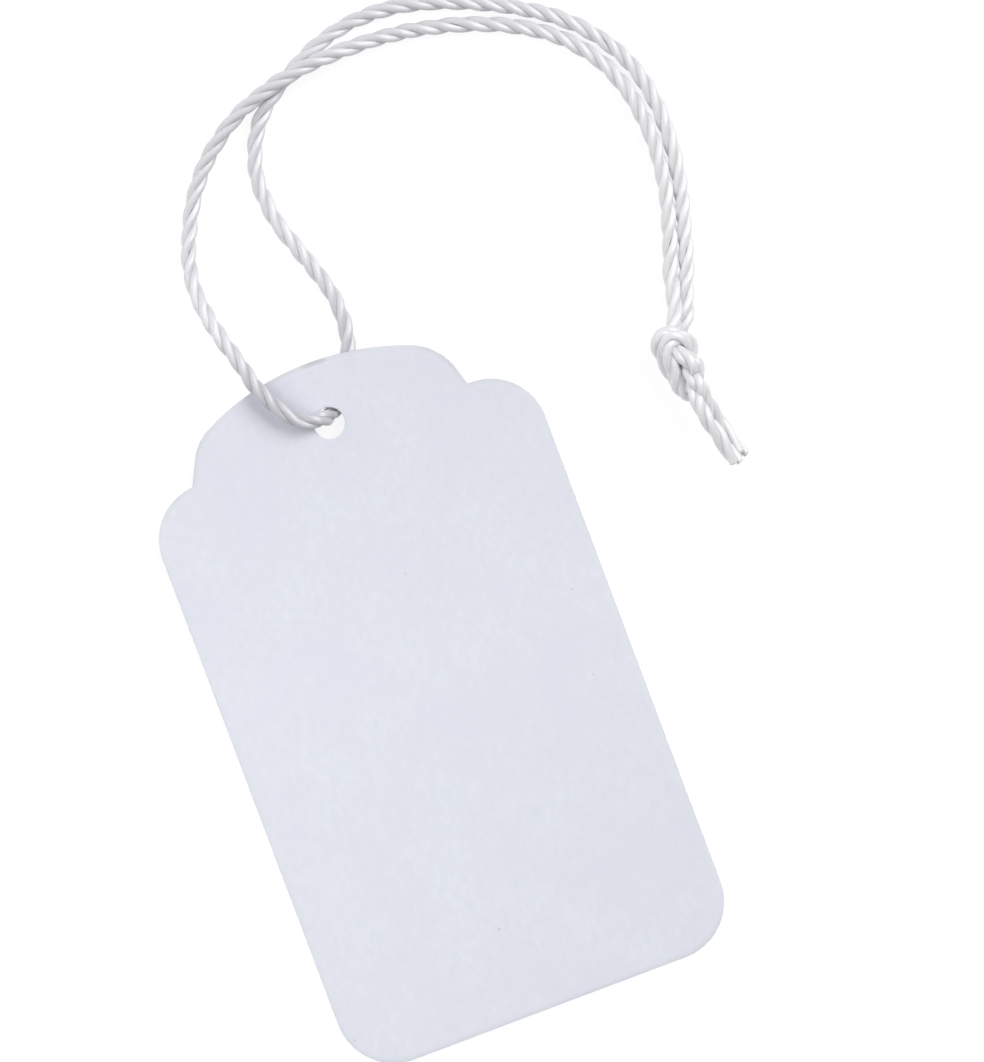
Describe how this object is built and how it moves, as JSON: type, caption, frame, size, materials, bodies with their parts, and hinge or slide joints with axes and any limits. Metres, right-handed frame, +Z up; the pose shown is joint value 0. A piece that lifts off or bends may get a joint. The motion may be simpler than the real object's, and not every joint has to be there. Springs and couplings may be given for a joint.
{
  "type": "gift tag",
  "caption": "Blank white card gift tag with a scalloped head, a punched hole and a knotted loop of twisted white cord to hang it from a parcel.",
  "frame": {"origin": "on the table under the middle of the card's outline, as the tag lies", "axes": "+Z up from the table, +Y along the card from its rounded foot to its hole, +X to the right of the card's front"},
  "size_m": [0.064, 0.1014, 0.0048],
  "materials": {
    "card": "matte",
    "cord": "satin"
  },
  "bodies": {
    "cord": {"cord_bight": "cord", "cord_front_strand": "cord", "cord_back_strand": "cord", "knot_front_turns": "cord", "knot_back_turns": "cord", "cord_front_tail": "cord", "cord_back_tail": "cord"},
    "card": {"tag_card": "card"}
  },
  "joints": [
    {"name": "card_swing", "type": "hinge", "parent": "cord", "child": "card", "pos_m": [0, 0.02845, 0.0018], "axis": [0, 0, 1], "range_deg": [-45, 30]}
  ]
}
